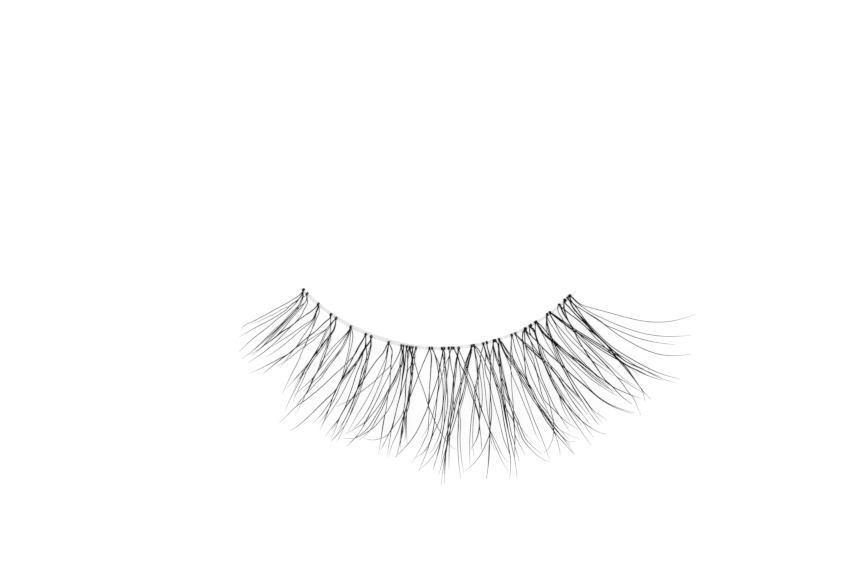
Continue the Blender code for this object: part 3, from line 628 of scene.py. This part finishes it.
def distance_out(point):
    """How far a point lies outside the band's centre line, in plan."""
    return math.hypot(point.x, point.y - BAND_RADIUS) - BAND_RADIUS


def sheet_height(out, lift):
    """Height of the curled sheet this far out, for a hair that rides this much above the others."""
    share = max(out, 0.0) / LASH_LENGTH
    belly = share / BELLY_SHARE
    sag = BELLY_DROP * belly * math.exp(1.0 - belly)
    curl = CURL_RISE * share**CURL_POWER
    return max(ROOT_HEIGHT + curl - sag + lift * min(share * LIFT_RATE, 1.0), LOWEST)


def place(x, y, lift):
    """The point of the curled sheet that a pixel shows."""
    along = sight(x, y)
    height = ROOT_HEIGHT
    for _ in range(SIGHT_ROUNDS):
        height = sheet_height(distance_out(at_height(along, height)), lift)
    return at_height(along, height)


def knot_place(knot):
    """A knot's bearing on the band, and how far out its middle lies, never past the band's edges."""
    point = at_height(sight(*KNOTS[knot]), BAND_THICKNESS)
    out = max(min(distance_out(point), KNOT_OUTERMOST), KNOT_INNERMOST)
    return math.atan2(point.x, BAND_RADIUS - point.y), out


def on_band(out, bearing, height):
    """The point this far out from the band's centre line, at a bearing and a height."""
    radius = BAND_RADIUS + out
    return Vector((radius * math.sin(bearing), BAND_RADIUS - radius * math.cos(bearing), height))


def smooth_path(points, steps):
    """Natural cubic spline through the points, read at evenly spaced shares of its length."""
    points = np.array(points, float)
    knots = np.concatenate([[0.0], np.cumsum(np.linalg.norm(np.diff(points, axis=0), axis=1))])
    gaps = np.diff(knots)
    slopes = np.diff(points, axis=0) / gaps[:, None]
    count = len(points)
    matrix = np.eye(count)
    right = np.zeros_like(points)
    for i in range(1, count - 1):
        matrix[i, i - 1 : i + 2] = gaps[i - 1], 2 * (gaps[i - 1] + gaps[i]), gaps[i]
        right[i] = 6 * (slopes[i] - slopes[i - 1])
    bend = np.linalg.solve(matrix, right)
    found = []
    for at in np.linspace(0.0, knots[-1], steps + 1):
        i = min(int(np.searchsorted(knots, at, side="right")) - 1, count - 2)
        gap = gaps[i]
        before = (knots[i + 1] - at) / gap
        after = (at - knots[i]) / gap
        found.append(
            before * points[i]
            + after * points[i + 1]
            + ((before**3 - before) * bend[i] + (after**3 - after) * bend[i + 1]) * gap**2 / 6
        )
    return np.array(found)


class Tubes:
    """A mesh of many thin tubes, each swept along its own points."""

    steep = 0.9

    def __init__(self):
        self.verts = []
        self.faces = []

    def add(self, points, radii, sides):
        """Adds a tube. Each ring's first side is the last ring's, turned square to the path."""
        points = [Vector(point) for point in points]
        first = len(self.verts)
        side = None
        for i, point in enumerate(points):
            along = points[min(i + 1, len(points) - 1)] - points[max(i - 1, 0)]
            along.normalize()
            if side is None:
                side = along.cross(UP if abs(along.z) < self.steep else SIDEWAYS)
            side = (side - along * side.dot(along)).normalized()
            other = along.cross(side)
            for corner in range(sides):
                angle = 2 * math.pi * corner / sides
                spoke = side * math.cos(angle) + other * math.sin(angle)
                self.verts.append(point + spoke * radii[i])
        for i in range(len(points) - 1):
            near = first + i * sides
            far = near + sides
            for corner in range(sides):
                after = (corner + 1) % sides
                self.faces.append((near + corner, near + after, far + after, far + corner))
        last = first + (len(points) - 1) * sides
        self.faces.append(tuple(range(first + sides - 1, first - 1, -1)))
        self.faces.append(tuple(range(last, last + sides)))

    def make(self, name, material):
        mesh = bpy.data.meshes.new(name)
        mesh.from_pydata(self.verts, [], self.faces)
        mesh.materials.append(material)
        mesh.shade_smooth()
        obj = bpy.data.objects.new(name, mesh)
        bpy.context.scene.collection.objects.link(obj)
        return obj


def make_pieces(groups, kind, material):
    """Makes each tuft's tubes one piece, which stands for the tuft's node."""
    for node, tubes in groups.items():
        piece = tubes.make(node.replace("tuft", kind), material)
        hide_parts(node)
        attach(piece, "root")


def hair_radii(weight):
    """A hair's radius at each step: thicker at the root, tapered towards the tip."""
    radii = []
    for step in range(HAIR_STEPS + 1):
        run = step / HAIR_STEPS
        taper = max(run - (1.0 - TAPERED_SHARE), 0.0) / TAPERED_SHARE
        root = max(1.0 - run / ROOT_SHARE, 0.0)
        share = 1.0 - (1.0 - TIP_SHARE) * taper**TAPER_POWER + ROOT_SWELL * root
        radii.append(HAIR_RADIUS * weight * share)
    return radii


def add_lash(tubes, lash, shift, lift, reach):
    """Adds one hair. Shift moves it sideways in the photograph, more so towards its tip."""
    pixels = smooth_path([KNOTS[lash.knot], *lash.path], HAIR_STEPS)
    if reach < 1.0:
        kept = max(int(len(pixels) * reach), FEWEST_POINTS)
        pixels = smooth_path(pixels[:kept], HAIR_STEPS)
    points = []
    for step, (x, y) in enumerate(pixels):
        run = step / HAIR_STEPS
        near = pixels[max(step - 1, 0)]
        far = pixels[min(step + 1, HAIR_STEPS)]
        along = (far - near) / np.linalg.norm(far - near)
        gap = min(run * PAIR_GAP_RATE, 1.0) * PAIR_GAP
        aside = shift * (gap + run**PAIR_SPREAD_POWER * PAIR_SPREAD)
        points.append(place(x - along[1] * aside, y + along[0] * aside, lift))
    tubes.add(points, hair_radii(lash.weight), HAIR_SIDES)


def make_lashes(material):
    """One piece for each tuft, with all of its hairs."""
    chance = random.Random(LASH_SEED)
    groups = {}
    for lash in LASHES:
        tubes = groups.setdefault(TUFTS[lash.knot[0]], Tubes())
        add_lash(tubes, lash, 0.0, chance.uniform(0, LIFT_SPREAD), 1.0)
        if lash.strands == 2:
            side = chance.choice((-1, 1))
            add_lash(tubes, lash, side, chance.uniform(0, LIFT_SPREAD), chance.uniform(*PAIR_REACH))
    make_pieces(groups, "lashes", material)


def knot_turn(bearing, middle, slant):
    """The points of one turn of fibre over the band, from its outer foot to its inner one."""
    points = []
    for step in range(KNOT_STEPS + 1):
        swing = math.pi * step / KNOT_STEPS
        out = middle + KNOT_DEPTH / 2 * math.cos(swing)
        height = KNOT_FOOT + (KNOT_TOP - KNOT_FOOT) * math.sin(swing) ** KNOT_ROUNDNESS
        aside = slant * (KNOT_FOOT_SPREAD + (1.0 - KNOT_FOOT_SPREAD) * math.sin(swing))
        points.append(on_band(out, bearing + aside / BAND_RADIUS, height))
    return points


def make_knots(material):
    """One piece for each tuft, with all of its knots."""
    chance = random.Random(KNOT_SEED)
    groups = {}
    places = {knot: knot_place(knot) for knot in KNOTS}
    for knot, (bearing, middle) in places.items():
        tubes = groups.setdefault(TUFTS[knot[0]], Tubes())
        nearest = min(abs(bearing - places[other][0]) for other in KNOTS if other != knot)
        spread = min(KNOT_SPREAD, nearest * BAND_RADIUS * KNOT_CROWDING)
        for turn in range(KNOT_TURNS):
            slant = (turn / (KNOT_TURNS - 1) - 0.5) * 2 * spread
            slant += chance.uniform(-KNOT_JITTER, KNOT_JITTER)
            points = knot_turn(bearing, middle, slant)
            tubes.add(points, [KNOT_FIBRE] * len(points), HAIR_SIDES)
    make_pieces(groups, "knots", material)


def mottled_material(name, scale, detail, span, dark, pale):
    """A material whose colour wanders between two shades, over a span of noise fixed to the object."""
    material = bpy.data.materials.new(name)
    material.use_nodes = True
    nodes = material.node_tree.nodes
    links = material.node_tree.links
    shader = nodes["Principled BSDF"]
    where = nodes.new("ShaderNodeTexCoord")
    noise = nodes.new("ShaderNodeTexNoise")
    noise.inputs["Scale"].default_value = scale
    noise.inputs["Detail"].default_value = detail
    links.new(where.outputs["Object"], noise.inputs["Vector"])
    shade = nodes.new("ShaderNodeValToRGB")
    low, high = shade.color_ramp.elements
    low.position, high.position = span
    low.color = (*dark, 1)
    high.color = (*pale, 1)
    links.new(noise.outputs["Fac"], shade.inputs["Fac"])
    links.new(shade.outputs["Color"], shader.inputs["Base Color"])
    return material, nodes, links, noise.outputs["Fac"], shader


def fibre_material():
    """Near-black synthetic fibre, with slight changes of shade and gloss along it."""
    material, nodes, links, noise, shader = mottled_material(
        "lash_fibre", scale=900, detail=3, span=(0.3, 0.75),
        dark=(0.003, 0.003, 0.004), pale=(0.012, 0.010, 0.010),
    )
    gloss = nodes.new("ShaderNodeMapRange")
    gloss.inputs["To Min"].default_value = 0.42
    gloss.inputs["To Max"].default_value = 0.60
    links.new(noise, gloss.inputs["Value"])
    links.new(gloss.outputs["Result"], shader.inputs["Roughness"])
    shader.inputs["Specular IOR Level"].default_value = 0.22
    return material


def film_material():
    """Clear frosted film: pale, half see-through, with a fine uneven surface."""
    material, nodes, links, noise, shader = mottled_material(
        "frosted_film", scale=1500, detail=4, span=(0.3, 0.7),
        dark=(0.84, 0.84, 0.86), pale=(0.93, 0.93, 0.95),
    )
    bump = nodes.new("ShaderNodeBump")
    bump.inputs["Strength"].default_value = 0.25
    bump.inputs["Distance"].default_value = 0.02 * MM
    links.new(noise, bump.inputs["Height"])
    links.new(bump.outputs["Normal"], shader.inputs["Normal"])
    shader.inputs["Roughness"].default_value = 0.38
    shader.inputs["Alpha"].default_value = 0.32
    return material


def floor_material():
    """Plain white studio surface with a barely visible mottle. It glows a little, to stay white."""
    material, _, _, _, shader = mottled_material(
        "studio_white", scale=40, detail=2, span=(0.0, 1.0),
        dark=(0.34, 0.34, 0.34), pale=(0.36, 0.36, 0.36),
    )
    shader.inputs["Roughness"].default_value = 0.9
    shader.inputs["Specular IOR Level"].default_value = 0.1
    shader.inputs["Emission Color"].default_value = (1, 1, 1, 1)
    shader.inputs["Emission Strength"].default_value = 0.76
    return material


def make_floor():
    half = FLOOR_SIZE / 2
    mesh = bpy.data.meshes.new("floor")
    corners = [(-half, -half, 0), (half, -half, 0), (half, half, 0), (-half, half, 0)]
    mesh.from_pydata(corners, [], [(0, 1, 2, 3)])
    mesh.materials.append(floor_material())
    floor = bpy.data.objects.new("floor", mesh)
    floor.location = (0, 0, CAD_BOX[0][2] - FLOOR_DROP)
    bpy.context.scene.collection.objects.link(floor)


def make_light():
    """Even white surroundings, and one wide soft light above."""
    world = bpy.data.worlds.new("studio")
    world.use_nodes = True
    sky = world.node_tree.nodes["Background"]
    sky.inputs["Color"].default_value = (1, 1, 1, 1)
    sky.inputs["Strength"].default_value = SKY_STRENGTH
    bpy.context.scene.world = world
    data = bpy.data.lights.new("softbox", "AREA")
    data.shape = "SQUARE"
    data.size = SOFTBOX_SIZE
    data.energy = SOFTBOX_POWER
    light = bpy.data.objects.new("softbox", data)
    light.location = SOFTBOX_PLACE
    light.rotation_euler = SOFTBOX_PLACE.to_track_quat("Z", "Y").to_euler()
    bpy.context.scene.collection.objects.link(light)
    bpy.context.scene.view_settings.view_transform = "Standard"


def main():
    make_camera()
    fibre = fibre_material()
    make_lashes(fibre)
    make_knots(fibre)
    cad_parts["band"].material_slots[0].material = film_material()
    make_floor()
    make_light()


main()
